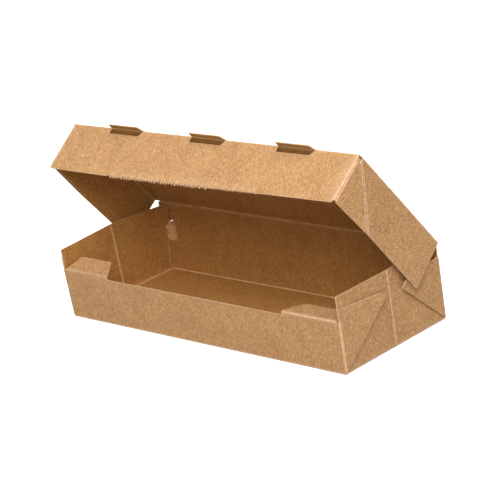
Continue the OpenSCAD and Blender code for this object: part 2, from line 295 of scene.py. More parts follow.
    # Paler along the cut edges, in patches, then the relief of felt and cracks.
    edge = maths("POWER", node("ShaderNodeAttribute", attribute_name="edge").outputs["Fac"], 1.4)
    edge_patches = ramp(noise(3.5, 1.0, 0, 4), 0.4, 0.65, 0.3, 1)
    colour = mix(maths("MULTIPLY", maths("MULTIPLY", edge, edge_patches), 0.65), colour, (*edge_tone, 1))
    tree.links.new(colour, shader.inputs["Base Color"])
    relief = maths("ADD", maths("MULTIPLY", mottle, 0.8), maths("MULTIPLY", fibres, 0.5))
    relief = maths("ADD", relief, maths("MULTIPLY", raised, 1.2))
    bump = node("ShaderNodeBump", Height=relief, Strength=0.6, Distance=0.0004)
    tree.links.new(bump.outputs["Normal"], shader.inputs["Normal"])
    return made


kraft_outer = kraft(
    "kraft_board", tone=(0.55, 0.302, 0.124), fibre_tone=(0.74, 0.48, 0.27),
    crease_tone=(0.84, 0.58, 0.37), edge_tone=(0.76, 0.49, 0.28),
)
# The board's inner side: its own darker, browner tone, made darker and more saturated still as painted shade,
# so that the box's inside stays dark.
kraft_inner_and_shade = kraft(
    "kraft_board_inner_and_shade", tone=(0.45, 0.214, 0.052), fibre_tone=(0.60, 0.34, 0.145),
    crease_tone=(0.90, 0.58, 0.29), edge_tone=(0.70, 0.43, 0.21), cracked=0.15,
)
kraft_cut = kraft(
    "kraft_cut_edge", tone=(0.76, 0.50, 0.285), fibre_tone=(0.78, 0.54, 0.33),
    crease_tone=(0.82, 0.56, 0.35), edge_tone=(0.78, 0.53, 0.32),
)


def score(start, end, reach=fold_radius, strength=0.8, wear_and_light=0.0):
    """A scored line, with the half-width of its bend and of the pale band beside it, worn and painted as a
    highlight.
    """
    return start, end, reach, strength, wear_and_light


def filled(outlines, bends):
    """Flat outlines filled with triangles, with rows of points beside their edges and along each bend."""
    points, links, near_edge = [], [], []
    for outline in outlines:
        edges = zip(outline, outline[1:] + outline[:1])
        path = [point for start, end in edges for point in divided(start, end, mesh_step / 2)]
        first = len(points)
        points += path
        links += [(first + k, first + (k + 1) % len(path)) for k in range(len(path))]
    segments = [(points[a], points[b]) for a, b in links]
    edge_points = np.array(points)
    for a, b in links:
        way = edge_points[b] - edge_points[a]
        middle = (edge_points[a] + edge_points[b]) / 2
        across = np.array((-way[1], way[0])) / max(np.linalg.norm(way), 1e-9)
        near_edge += [middle + across * edge_band, middle - across * edge_band]
    near_edge = np.array(near_edge)
    near_edge = near_edge[inside(near_edge, segments)]
    for start, end, reach in bends:
        way = np.array(end, float) - np.array(start, float)
        across = np.array((-way[1], way[0])) / np.linalg.norm(way)
        for offset in (-reach - bend_room, -reach, -reach / 2, 0, reach / 2, reach, reach + bend_room):
            path = divided(start + across * offset, end + across * offset, mesh_step / 2)
            path.append(tuple(end + across * offset))
            first = len(points)
            points += path
            links += [(first + k, first + k + 1) for k in range(len(path) - 1)]
    lines = np.array(points)
    low, high = lines.min(0), lines.max(0)
    columns, rows = np.arange(low[0], high[0], mesh_step), np.arange(low[1], high[1], mesh_step)
    grid = np.array([(x, y) for x in columns for y in rows])
    grid = grid[inside(grid, segments)]
    for some, room in ((near_edge, edge_room), (grid, mesh_step * grid_room)):
        clear = np.ones(len(some), bool)
        for k in range(0, len(lines), 500):
            gap = np.linalg.norm(some[:, None] - lines[None, k:k + 500], axis=2).min(1)
            clear &= gap > room
        points += [tuple(point) for point in some[clear]]
    corners, _, faces, *_ = delaunay_2d_cdt([Vector(point) for point in points], links, [], 0, 1e-5)
    corners = np.array([tuple(c) for c in corners])
    faces = np.array([f for f in faces if len(f) == 3])
    faces = faces[inside(corners[faces].mean(1), segments)]
    used = np.unique(faces)
    number = np.full(len(corners), -1)
    number[used] = np.arange(len(used))
    return corners[used], number[faces]


def lay_felt(mesh, corners, polygons, fibre_start, crossed):
    """Gives a card's mesh the UV map of its flat sheet, turned in the boxes of crossed."""
    flat_map = mesh.uv_layers.new(name="flat")
    vertex_of = np.zeros(len(mesh.loops), int)
    mesh.loops.foreach_get("vertex_index", vertex_of)
    both = np.vstack((corners, corners))
    felt = ((both + np.array(fibre_start)) / felt_unit)[vertex_of]
    middles = np.array([both[list(face)].mean(0) for face in polygons])
    face_of = np.repeat(np.arange(len(polygons)), [len(f) for f in polygons])
    for x0, y0, x1, y1, degrees in crossed:
        there = (middles > (x0, y0)).all(1) & (middles < (x1, y1)).all(1)
        cos, sin = math.cos(math.radians(degrees)), math.sin(math.radians(degrees))
        turned = felt @ np.array(((cos, sin), (-sin, cos))) + felt_shift
        felt = np.where(there[face_of][:, None], turned, felt)
    flat_map.data.foreach_set("uv", felt.ravel())


def card(name, outlines, scores, shape, fibre_start=(0, 0), cracks=(), crossed=()):
    """A piece of card: flat outlines are filled with triangles and given thickness, and shape() folds them.

    In the boxes named by crossed, given as x, y, x, y and degrees, the felt of the fibres lies turned.
    """
    bends = [(start, end, reach) for start, end, reach, _, _ in scores]
    bends += [(start, end, crack_reach * crack_bend) for start, end in cracks]
    corners, faces = filled(outlines, bends)
    count = len(corners)
    sides = dict.fromkeys((a, b) for face in faces for a, b in zip(face, np.roll(face, -1)))
    rim = [(a, b) for a, b in sides if (b, a) not in sides]
    # Pale bands along the scores: worn pale, and painted highlights on the folds and painted light on the
    # tabs.
    crease = np.zeros(count)
    for start, end, reach, strength, wear_and_light in scores:
        away = distance_to(corners, start, end) - reach * 0.3 - wear_and_light
        fade = np.clip(1 - away / (reach * 0.7 + 0.3), 0, 1)
        crease = np.maximum(crease, fade * strength)
    crack = np.zeros(count)
    for start, end in cracks:
        crack = np.maximum(crack, np.clip(1 - distance_to(corners, start, end) / crack_reach, 0, 1))
    on_rim = np.zeros(count)
    on_rim[[a for a, b in rim]] = 1
    inner = np.column_stack((corners, np.full(count, board / 2)))
    outer = np.column_stack((corners, np.full(count, -board / 2)))
    placed = shape(np.vstack((inner, outer))) * mm
    polygons = [tuple(f) for f in faces]
    polygons += [(a + count, c + count, b + count) for a, b, c in faces]
    polygons += [(b, a, a + count, b + count) for a, b in rim]
    mesh = bpy.data.meshes.new(name)
    mesh.from_pydata([tuple(p) for p in placed], [], [[int(i) for i in f] for f in polygons])
    mesh.update()
    lay_felt(mesh, corners, polygons, fibre_start, crossed)
    for label, values in (("crease", crease), ("crack", crack), ("edge", on_rim)):
        attribute = mesh.attributes.new(label, "FLOAT", "POINT")
        attribute.data.foreach_set("value", np.concatenate((values, values)))
    for finish in (kraft_inner_and_shade, kraft_outer, kraft_cut):
        mesh.materials.append(finish)
    finish_of = np.repeat((0, 1, 2), (len(faces), len(faces), len(rim)))
    mesh.polygons.foreach_set("material_index", finish_of)
    mesh.shade_smooth()
    mesh.set_sharp_from_angle(angle=math.radians(40))
    piece = bpy.data.objects.new(name, mesh)
    bpy.context.scene.collection.objects.link(piece)
    return piece


def flap_point(across, height):
    """A point of a corner flap in the flat sheet, for a corner with both signs positive."""
    return (corner_x + end_slope * height + across, floor_half_y - board / 2 + height - end_slope * across)


def front_corner(tuck_inner, tuck_outer, fold_z, dip):
    """Flat outline from the front wall's middle round its corner flap to the end wall's crease."""
    height = floor_half_y - board / 2
    wall_end = floor_half_x + board / 2
    return rounded([
        (0, height + front_low, 0), (tuck_inner - tuck_cut, height + front_low, 0),
        (tuck_inner, height + fold_z - fold_reach, 0), (tuck_outer, height + fold_z - fold_reach, 0),
        (tuck_outer, height + front_top, 0), (*flap_point(flap_start, front_top), 0),
        (*flap_point(flap_start, flap_top), 0), (*flap_point(front_flap_reach - flap_blunt, flap_tip_top), 0),
        (*flap_point(front_flap_reach, flap_tip_low), 0), (*flap_point(flap_start, board / 2 + wall_foot), 0),
        (wall_end, floor_half_y + wall_foot, 0), (wall_end, floor_half_y - corner_notch, 0),
        (floor_half_x + end_foot_x, end_front_y, 0),
        (floor_half_x + end_height - dip, end_front_y, end_corner_r),
        (floor_half_x + end_height - end_sag * dip, 0, 0),
    ])


def back_corner(dip):
    """Flat outline from the back wall's middle round its corner flap to the end wall's crease."""
    height = floor_half_y - board / 2
    wall_end = floor_half_x + board / 2
    return rounded([
        (0, height + hinge_z - fold_reach, 0), (hinge_half_x, height + hinge_z - fold_reach, 0),
        (hinge_half_x, height + back_corner_top, 0),
        (wall_end + end_slope * back_corner_top, height + back_corner_top, back_corner_r),
        (wall_end + end_slope * flap_top, height + flap_top + flap_start, 0),
        (*flap_point(flap_start, flap_top), 0), (*flap_point(rear_flap_reach - flap_blunt, flap_tip_top), 0),
        (*flap_point(rear_flap_reach, flap_tip_low), 0), (*flap_point(flap_start, board / 2 + wall_foot), 0),
        (wall_end, floor_half_y + wall_foot, 0), (wall_end, floor_half_y - corner_notch, 0),
        (floor_half_x + end_foot_x, floor_half_y - end_foot_gap, 0),
        (floor_half_x + end_foot_rise, end_rear_y, 0),
        (floor_half_x + end_height, end_rear_y, end_corner_r),
        (floor_half_x + end_height - end_sag * dip, 0, 0),
    ])


def end_lean(depth, height):
    """Inward shift of an end wall's rear half: it bends as a cone from the floor's rear corner."""
    part = np.clip(height / lean_height, 1e-6, None)
    top_depth = np.clip((end_rear_y + (depth - end_rear_y) / part) / end_rear_y, 0, 1)
    return part * rear_lean * top_depth ** lean_curve


def fold_tray(flat):
    """Folds the tray's flat sheet: flaps and tabs first, then the walls."""
    points = flat.copy()
    x, y = flat[:, 0], flat[:, 1]
    for side in (-1, 1):
        for way in (-1, 1):
            flap = (side * x > floor_half_x) & (way * y > floor_half_y + wall_foot - play)
            reach = np.clip(side * x - corner_x, 0, None)
            spring = rear_flap_spring if way > 0 else front_flap_spring
            points[flap, 2] -= spring * reach[flap] / rear_flap_reach
            start = (side * corner_x, way * (floor_half_y - board / 2))
            flap &= side * x > corner_x - bend_band
            fold_up(points, flap, start, (side, -way * end_slope), math.pi / 2)
        end = side * x > floor_half_x - bend_band
        end &= (y > -end_front_y - play) & (y < floor_half_y - board / 2)
        height = np.clip(side * x - floor_half_x, 0, None) + board / 2
        points[end, 2] += end_lean(y[end], height[end])
        fold_up(points, end, (side * floor_half_x, 0), (side, 0), math.pi / 2 - math.atan(end_slope))
        tab = (np.hypot(side * x - lock_x, y - lock_y) < lock_r + slit / 2) & (side * x > lock_x - bend_band)
        fold_up(points, tab, (side * lock_x, 0), (side, 0), lock_turn)
    for way in (-1, 1):
        wall = way * y > floor_half_y - bend_band
        wall &= (np.abs(x) < floor_half_x + board / 2 + play) | (way * y > floor_half_y + wall_foot - play)
        if way < 0:
            wall &= (y < -end_front_y + play) | (np.abs(x) < floor_half_x - board)
        fold_up(points, wall, (0, way * floor_half_y), (0, way), math.pi / 2)
    points[:, 2] += board / 2
    return points


def mirrored(path, side, way):
    """An outline drawn for the corner with both signs positive, for the corner named by the two signs."""
    return [(side * x, way * y) for x, y in path]


tray_outline = mirrored(front_corner(right_tuck_x[0], right_tuck_x[1], right_tuck_fold[0], 0), 1, -1)[1:]
tray_outline += mirrored(back_corner(0), 1, 1)[::-1][1:-1]
tray_outline += mirrored(back_corner(left_front_dip), -1, 1)[1:]
left_front = front_corner(-left_tuck_x[1], -left_tuck_x[0], left_tuck_fold[0], left_front_dip)
tray_outline += mirrored(left_front, -1, -1)[::-1][1:-1]
lock_slits = []
for side in (-1, 1):
    angles = np.radians(np.linspace(-90, 90, 25))
    ring = [(lock_x + lock_r * math.cos(a), lock_y + lock_r * math.sin(a)) for a in angles]
    cut_r = lock_r + slit
    ring += [(lock_x + cut_r * math.cos(a), lock_y + cut_r * math.sin(a)) for a in angles[::-1]]
    lock_slits.append(mirrored(ring, side, 1))
tray_scores = []
for way in (-1, 1):
    fold_y = way * floor_half_y
    tray_scores.append(score((-floor_half_x, fold_y), (floor_half_x, fold_y), strength=1.0, wear_and_light=0.3))
highlight_y = end_rear_y - highlight_inset
for side in (-1, 1):
    fold_x = side * floor_half_x
    tray_scores.append(score((fold_x, -end_front_y), (fold_x, end_rear_y), strength=1.0, wear_and_light=0.4))
    # Painted highlight beside each end wall's rear edge, where its cut edge catches the light.
    low, high = side * (floor_half_x + end_foot_rise), side * (floor_half_x + highlight_height)
    tray_scores.append(score((low, highlight_y), (high, highlight_y), reach=0.2, strength=0.55, wear_and_light=0.3))
    # The end walls' creases are painted pale: worn, and a painted highlight on the ridge.
    low, high = side * (floor_half_x + crease_start), side * (floor_half_x + end_height + crease_past)
    tray_scores.append(score((low, 0), (high, 0), reach=0.25, strength=1.0, wear_and_light=0.15))
    for way, top in ((-1, front_top), (1, flap_top)):
        foot, head = flap_point(0, board + wall_foot), flap_point(0, top)
        tray_scores.append(score((side * foot[0], way * foot[1]), (side * head[0], way * head[1]), wear_and_light=0.2))
    tray_scores.append(score((side * lock_x, lock_y - lock_r), (side * lock_x, lock_y + lock_r), reach=0.2))
    # Painted light: most of each half-round tab is painted pale, as the pushed-in tab faces the light.
    lit_tab_x, half = side * (lock_x + lock_r * lit_tab_share), lock_r * (1 - lit_tab_share)
    low, high = lock_y - half, lock_y + half
    tray_scores.append(score((lit_tab_x, low), (lit_tab_x, high), reach=0.2, strength=0.7, wear_and_light=2.2))
# On the end walls the felt lies across; their boxes run on past the sheet.
past_sheet = 200
end_walls = (
    (floor_half_x, -end_front_y, past_sheet, end_rear_y, 90),
    (-past_sheet, -end_front_y, -floor_half_x, end_rear_y, 90),
)
tray = card("tray_sheet", [tray_outline, *lock_slits], tray_scores, fold_tray, crossed=end_walls)
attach(tray, "tray")
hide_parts("tray")

# Lid
# Top panel, skirt and end walls are of the same blank as the tray, and hinge on the back wall's top fold.
# The skirt's glue flaps are stuck inside the end walls; three tabs stay level where the cut runs round them.
# The skirt's lower edge is torn in the middle, where the box was opened.

# Top panel: its side and front folds, its edge at the hinge, and how many degrees each end stands open.
lid_side_x = 103.05
lid_front = 73.45
lid_start = 0.4
lid_open_left = 52.9
lid_open_right = 54.15
# End walls: depths at front and rear, front edge, flare at the rear, and rounded corners.
lid_end_depth = 26.3
lid_rear_depth = 26.9
lid_end_front = 72.45
lid_end_flare = 2.1
lid_end_r = 1.0
# The relief cut at the front of the end wall's fold: its depth, its steps away from the fold, and its corner.
relief = 1.5
relief_start = 4.0
relief_floor = 3.0
relief_end = 0.5
relief_r = 0.4
# The cut that parts the end wall from the glue flap.
corner_cut = 0.1
# The diagonal crease of the end walls: where it starts below the fold, its reach and its slope in degrees.
lid_crease_start = 1.2
lid_crease_reach = 25.6
lid_crease_turn = 46.0
# Skirt: half its length, its lean and its depth.
skirt_side_x = 102.55
skirt_lean = math.radians(-0.4)
skirt_depth = 27.9
# Glue flaps: reach, upper edge at the skirt and at the tip, the tip's upper corner, the lower edge with the
# depth and slant of its bevel, and how far the tip springs off the wall.
glue_reach = 29.3
glue_top = 1.2
glue_drop = 3.0
glue_r = 0.8
glue_low = 25.6
glue_bevel = 2.1
glue_slant = 1.6
glue_spring = 0.6
# Level tabs: their spacing, half their length, how far they stand out, and the length of their point.
tab_pitch = 61.2
tab_half = 11.3
tab_depth = 3.6
tab_point = 2.6
# Torn edge: its ends, the spacing and depth of its teeth, how uneven both are, and the share of a tooth's
# spacing that its slope takes. Right of the calm point the tear is shallower.
tooth_start = -53.0
tooth_end = 52.0
tooth_pitch = 2.13
tooth_depth = 2.15
pitch_range = (0.85, 1.15)
depth_range = (0.6, 1.2)
slope_range = (0.45, 0.7)
calm_x = 20
calm_depth = 0.6
# The torn line bows: the bow's height, place and width, its share past the calm point, and the rise there.
bow_depth = 0.75
bow_x = -62
bow_width = 60
calm_bow = 0.3
calm_rise = 0.011
# Clean ends of the skirt's edge: their first point, the spacing of the rest, and the steps at the corners.
clean_start = 96
clean_step = 6
end_step = 0.3
end_drop = 0.15
# The tear is drawn at random, each time in the same way.
lid_seed = 11
rng = np.random.default_rng(lid_seed)


def skirt_edge(x):
    """Depth of the skirt's lower edge: the torn line bows a little and rises to the right."""
    bow = bow_depth * math.cos((x - bow_x) / bow_width) ** 2 * (1 if x < calm_x else calm_bow)
    return skirt_depth + bow - calm_rise * max(0, x - calm_x)


def opening(x):
    """How far the lid stands open at x: it is twisted a little from end to end."""
    middle = (lid_open_left + lid_open_right) / 2
    return np.radians(middle + (lid_open_right - lid_open_left) * x / (2 * lid_side_x))


def bottom_edge():
    """The skirt's lower edge from right to left: clean at the ends, torn along perforations in the middle."""
    right_clean = np.arange(clean_start, tooth_end + 1, -clean_step)
    left_clean = np.arange(tooth_start - clean_step / 2, -clean_start - 1, -clean_step)
    path = [(skirt_side_x - end_step, lid_front + glue_low + end_drop)]
    path.append((skirt_side_x - 3 * end_step, lid_front + skirt_edge(skirt_side_x)))
    path += [(x, lid_front + skirt_edge(x)) for x in right_clean]
    x = tooth_end
    while x > tooth_start:
        pitch = tooth_pitch * rng.uniform(*pitch_range)
        depth = tooth_depth * rng.uniform(*depth_range) * (1 if x < calm_x else calm_depth)
        path.append((x, lid_front + skirt_edge(x) + depth / 2))
        path.append((x - pitch * rng.uniform(*slope_range), lid_front + skirt_edge(x) - depth / 2))
        x -= pitch
    path += [(x, lid_front + skirt_edge(x)) for x in left_clean]
    path.append((-skirt_side_x + 3 * end_step, lid_front + skirt_edge(-skirt_side_x)))
    path.append((-skirt_side_x + end_step, lid_front + glue_low + end_drop))
    return path


def lid_corner(side):
    """Outline from the hinge round the end wall to the glue flap's lower corner, for the given side."""
    path = rounded([
        (hinge_half_x, fold_reach, 0), (hinge_half_x, lid_start, 0),
        (lid_side_x + lid_rear_depth, lid_start, lid_end_r),
        (lid_side_x + lid_end_depth, lid_end_front, lid_end_r),
        (lid_side_x + relief_start, lid_end_front, relief),
        (lid_side_x + relief_floor, lid_end_front - relief, relief_r),
        (lid_side_x + relief_end, lid_end_front - relief, 0),
        (lid_side_x + board / 2, lid_end_front - corner_cut, 0),
        (skirt_side_x + corner_cut, lid_end_front + 2 * corner_cut, 0),
        (skirt_side_x + corner_cut, lid_front + glue_top, 0),
        (skirt_side_x + glue_reach, lid_front + glue_drop, glue_r),
        (skirt_side_x + glue_reach, lid_front + glue_low - glue_bevel, relief_r),
        (skirt_side_x + glue_reach - glue_bevel * glue_slant, lid_front + glue_low, 0),
    ])
    return [(side * x, y) for x, y in path]


def tab_outline(centre, margin):
    """Outline of a level tab: square at one end and pointed at the other."""
    root = lid_front - fold_radius - slit
    foot = lid_front - board / 2
    return [
        (centre - tab_half - margin, root), (centre - tab_half - margin, foot + tab_depth + margin),
        (centre + tab_half + margin / 2, foot + tab_depth + margin),
        (centre + tab_half + tab_point + margin, foot), (centre + tab_half + tab_point + margin, root),
    ]


def end_flare(back, depth):
    """Outward shift of an end wall: ahead of its crease it hinges on the skirt, and behind it on the top."""
    return lid_end_flare * np.clip(np.minimum(depth, lid_end_front - back), 0, None) / lid_rear_depth


def fold_lid(flat):
    """Folds the lid's flat sheet, turns it over and opens it."""
    points = flat.copy()
    x, y = flat[:, 0], flat[:, 1]
    tabs = np.zeros(len(flat), bool)
    for centre in (-tab_pitch, 0, tab_pitch):
        outline = tab_outline(centre, slit / 2)
        tabs |= inside(flat[:, :2], list(zip(outline, outline[1:] + outline[:1])))
    for side in (-1, 1):
        glue = (side * x > skirt_side_x - bend_band) & (y > lid_front + glue_top - play)
        depth = y - lid_front
        back = lid_front - (side * x - skirt_side_x)
        points[glue, 2] -= end_flare(back, depth)[glue] * (side * x > skirt_side_x)[glue]
        freed = np.clip(side * x - skirt_side_x, 0, None) / glue_reach * depth / glue_low
        points[glue, 2] += glue_spring * freed[glue]
        fold_up(points, glue, (side * skirt_side_x, 0), (side, 0), math.pi / 2)
        end = (side * x > lid_side_x - bend_band) & (y < lid_end_front + play)
        depth = np.clip(side * x - lid_side_x, 0, None)
        points[end, 2] -= end_flare(y, depth)[end]
        fold_up(points, end, (side * lid_side_x, 0), (side, 0), math.pi / 2)
    skirt = (y > lid_end_front + 2 * play) & ~tabs
    fold_up(points, skirt, (0, lid_front), (0, 1), math.pi / 2 + skirt_lean)
    turn = -opening(points[:, 0])
    shut_y, shut_z = -points[:, 1], -points[:, 2]
    points[:, 1] = floor_half_y + shut_y * np.cos(turn) - shut_z * np.sin(turn)
    points[:, 2] = hinge_z + shut_y * np.sin(turn) + shut_z * np.cos(turn)
    return points


skirt_bottom = bottom_edge()
lid_outline = lid_corner(1) + skirt_bottom + lid_corner(-1)[::-1]
tab_slits = []
for centre in (-tab_pitch, 0, tab_pitch):
    tab_slits.append(tab_outline(centre, 0) + tab_outline(centre, slit)[::-1])
lid_scores = [score((-skirt_side_x, lid_front), (skirt_side_x, lid_front), strength=0.9)]
lid_cracks = []
for side in (-1, 1):
    lid_scores.append(score((side * lid_side_x, lid_start), (side * lid_side_x, lid_end_front), strength=0.9))
    top, low = (side * skirt_side_x, lid_front + glue_top), (side * skirt_side_x, lid_front + glue_low)
    # The glue flap's fold is pale over a wide band: worn, and a painted highlight on its rounded fold.
    lid_scores.append(score(top, low, strength=1.0, wear_and_light=0.55))
    back = lid_crease_start + lid_crease_reach / math.tan(math.radians(lid_crease_turn))
    lid_cracks.append((
        (side * (lid_side_x + lid_crease_start), lid_end_front - lid_crease_start),
        (side * (lid_side_x + lid_crease_reach), lid_end_front - back),
    ))
lid_ends = (
    (lid_side_x, 0, past_sheet, lid_end_front, 50),
    (-past_sheet, 0, -lid_side_x, lid_end_front, -50),
)
lid = card(
    "lid_sheet", [lid_outline, *tab_slits], lid_scores, fold_lid,
    fibre_start=(0, 400), cracks=lid_cracks, crossed=lid_ends,
)
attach(lid, "lid")
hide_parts("lid")

# Torn fibres
# The skirt was torn off along a line of perforations, and loose fibres of the card stand out of the tear.
# They are too fine to cut, so Geometry Nodes scatter tapered hairs along the torn edge.

# How many hairs stand there, their length and thickness, how far they spread, and the shares of the length
# between which each one lies.
fibre_count = 150
fibre_length = 0.45
fibre_thickness = 0.03
fibre_spread = 0.9
fibre_shortest = 0.35
fibre_longest = 1.25
fibre_sides = 3
fibre_seed = 5


def torn_fibres(hair_finish):
    """Node tree that turns a line into tapered hairs which stand out of it."""
    tree = bpy.data.node_groups.new("torn_fibres", "GeometryNodeTree")
    face = tree.interface
    face.new_socket("Geometry", in_out="INPUT", socket_type="NodeSocketGeometry")
    face.new_socket("Count", in_out="INPUT", socket_type="NodeSocketInt")
    for label in ("Length", "Thickness", "Spread"):
        face.new_socket(label, in_out="INPUT", socket_type="NodeSocketFloat")
    face.new_socket("Way", in_out="INPUT", socket_type="NodeSocketVector")
    face.new_socket("Geometry", in_out="OUTPUT", socket_type="NodeSocketGeometry")
    given = tree.nodes.new("NodeGroupInput")
    line = tree.nodes.new("GeometryNodeMeshToCurve")
    tree.links.new(given.outputs["Geometry"], line.inputs["Mesh"])
    roots = tree.nodes.new("GeometryNodeResampleCurve")
    tree.links.new(line.outputs["Curve"], roots.inputs["Curve"])
    tree.links.new(given.outputs["Count"], roots.inputs["Count"])
    hair = tree.nodes.new("GeometryNodeMeshCone")
    hair.inputs["Vertices"].default_value = fibre_sides
    hair.inputs["Radius Top"].default_value = 0
    tree.links.new(given.outputs["Thickness"], hair.inputs["Radius Bottom"])
    tree.links.new(given.outputs["Length"], hair.inputs["Depth"])
    lean = tree.nodes.new("FunctionNodeRandomValue")
    lean.data_type = "FLOAT_VECTOR"
    lean.inputs["Seed"].default_value = fibre_seed
    less = tree.nodes.new("ShaderNodeMath")
    less.operation = "MULTIPLY"
    less.inputs[1].default_value = -1
    tree.links.new(given.outputs["Spread"], less.inputs[0])
    tree.links.new(less.outputs["Value"], lean.inputs[0])
    tree.links.new(given.outputs["Spread"], lean.inputs[1])
    way = tree.nodes.new("ShaderNodeVectorMath")
    tree.links.new(given.outputs["Way"], way.inputs[0])
    tree.links.new(lean.outputs[0], way.inputs[1])
    turned = tree.nodes.new("FunctionNodeAlignRotationToVector")
    turned.axis = "Z"
    tree.links.new(way.outputs["Vector"], turned.inputs["Vector"])
    grown = tree.nodes.new("FunctionNodeRandomValue")
    grown.inputs["Seed"].default_value = fibre_seed + 1
    grown.inputs[2].default_value = fibre_shortest
    grown.inputs[3].default_value = fibre_longest
    planted = tree.nodes.new("GeometryNodeInstanceOnPoints")
    tree.links.new(roots.outputs["Curve"], planted.inputs["Points"])
    tree.links.new(hair.outputs["Mesh"], planted.inputs["Instance"])
    tree.links.new(turned.outputs["Rotation"], planted.inputs["Rotation"])
    tree.links.new(grown.outputs[1], planted.inputs["Scale"])
    real = tree.nodes.new("GeometryNodeRealizeInstances")
    tree.links.new(planted.outputs["Instances"], real.inputs["Geometry"])
    finished = tree.nodes.new("GeometryNodeSetMaterial")
    finished.inputs["Material"].default_value = hair_finish
    tree.links.new(real.outputs["Geometry"], finished.inputs["Geometry"])
    result = tree.nodes.new("NodeGroupOutput")
    tree.links.new(finished.outputs["Geometry"], result.inputs["Geometry"])
    return tree


def fibre_finish():
    """Bare wood fibre: pale straw with some darker hairs among it."""
    made = bpy.data.materials.new("torn_fibre")
    made.use_nodes = True
    tree = made.node_tree
    shader = tree.nodes["Principled BSDF"]
    shader.inputs["Roughness"].default_value = 0.9
    shader.inputs["Specular IOR Level"].default_value = 0.2
    place = tree.nodes.new("ShaderNodeTexCoord")
    patches = tree.nodes.new("ShaderNodeTexNoise")
    patches.inputs["Scale"].default_value = 900
    tree.links.new(place.outputs["Object"], patches.inputs["Vector"])
    tones = tree.nodes.new("ShaderNodeValToRGB")
    tones.color_ramp.elements[0].position = 0.35
    tones.color_ramp.elements[0].color = (0.52, 0.29, 0.125, 1)
    tones.color_ramp.elements[1].position = 0.62
    tones.color_ramp.elements[1].color = (0.80, 0.56, 0.34, 1)
    tree.links.new(patches.outputs["Fac"], tones.inputs["Fac"])
    tree.links.new(tones.outputs["Color"], shader.inputs["Base Color"])
    return made


torn_flat = np.array([(x, y, 0) for x, y in skirt_bottom if tooth_start - 1 < x < tooth_end + 1])
torn_line = fold_lid(torn_flat) * mm
deeper = fold_lid(torn_flat + np.array((0, 1, 0))) * mm
fibre_way = (deeper - torn_line).mean(0)
fibre_way /= np.linalg.norm(fibre_way)
line_mesh = bpy.data.meshes.new("torn_line")
line_mesh.from_pydata([tuple(p) for p in torn_line], [(k, k + 1) for k in range(len(torn_line) - 1)], [])
line = bpy.data.objects.new("torn_line", line_mesh)
bpy.context.scene.collection.objects.link(line)
scatter = line.modifiers.new("fibres", "NODES")
scatter.node_group = torn_fibres(fibre_finish())
sockets = scatter.node_group.interface.items_tree
named = {socket.name: socket.identifier for socket in sockets if socket.in_out == "INPUT"}
scatter[named["Count"]] = fibre_count
scatter[named["Length"]] = fibre_length * mm
scatter[named["Thickness"]] = fibre_thickness * mm
scatter[named["Spread"]] = fibre_spread
scatter[named["Way"]] = tuple(fibre_way)
grown_line = line.evaluated_get(bpy.context.evaluated_depsgraph_get())
fibre_mesh = bpy.data.meshes.new_from_object(grown_line)
bpy.data.objects.remove(line)
fibre_mesh.name = "torn_fibres"
fibres = bpy.data.objects.new("torn_fibres", fibre_mesh)
bpy.context.scene.collection.objects.link(fibres)
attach(fibres, "lid")

# Tuck flaps
# Two short flaps fold in from the front wall's top edge, and stiffen it where the lid closes over.
# They are the same sheet as the wall, and carry on from its scored fold.

# How far each reaches from its fold, how far its two ends slant in, its corners, and the radius of its fold.
left_tuck_reach = 10.4
left_tuck_slant = (2.6, 5.7)
right_tuck_reach = 11.1
right_tuck_slant = (5.6, 2.7)
tuck_r = 1.2
strip_radius = 0.4


def over_front_wall(fold_z, angle):
    """How a piece drawn flat below the front wall's fold, outer side down, stands once it is folded in."""
    def shape(flat):
        points = flat.copy()
        fold_up(points, np.ones(len(flat), bool), (0, 0), (0, -1), angle, radius=strip_radius)
        return np.column_stack((points[:, 0], points[:, 2] - floor_half_y, fold_z - points[:, 1]))
    return shape


def tuck_outline(span, slant, reach):
    """Outline of a tuck flap from its fold to its free edge, with both ends slanting in."""
    low, high = span
    return rounded([
        (low, -fold_reach, 0), (high, -fold_reach, 0),
        (high - slant[1], -reach, tuck_r), (low + slant[0], -reach, tuck_r),
    ])


for name, node, span, slant, reach, fold, start in (
    (
        "left_tuck_sheet", "left_tuck_flap",
        left_tuck_x, left_tuck_slant, left_tuck_reach, left_tuck_fold, (700, 0),
    ),
    (
        "right_tuck_sheet", "right_tuck_flap",
        right_tuck_x, right_tuck_slant, right_tuck_reach, right_tuck_fold, (900, 0),
    ),
):
    flap = card(name, [tuck_outline(span, slant, reach)], [], over_front_wall(*fold), fibre_start=start)
    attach(flap, node)
    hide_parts(node)

# Folds
# These scored strips join the sheets where the box moves, along the lid's hinge and the tuck flaps' folds.
# The board is crushed thin along a score, so it bends round a small radius and its pale fibres show;
# the pale line is also painted as the fold's highlight.


def strip(name, low_x, high_x, shape, start, wear_and_light=1.0):
    """A scored strip of card across a moving fold; the last argument says how pale its score is, as wear and
    painted highlight.
    """
    outline = [(low_x, -fold_reach), (high_x, -fold_reach), (high_x, fold_reach), (low_x, fold_reach)]
    line = score((low_x, 0), (high_x, 0), reach=strip_radius, strength=wear_and_light, wear_and_light=0.2)
    piece = card(name, [outline], [line], shape, fibre_start=start)
    return piece


def over_back_wall(flat):
    """How a strip drawn flat above the back wall's fold stands at the lid's opening."""
    points = flat.copy()
    angle = math.pi / 2 - opening(points[:, 0])
    fold_up(points, np.ones(len(flat), bool), (0, 0), (0, 1), angle, radius=strip_radius)
    return np.column_stack((points[:, 0], floor_half_y - points[:, 2], points[:, 1] + hinge_z))


hinge_fold = strip("lid_fold", -hinge_half_x, hinge_half_x, over_back_wall, (0, 1200))
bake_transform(hinge_fold)
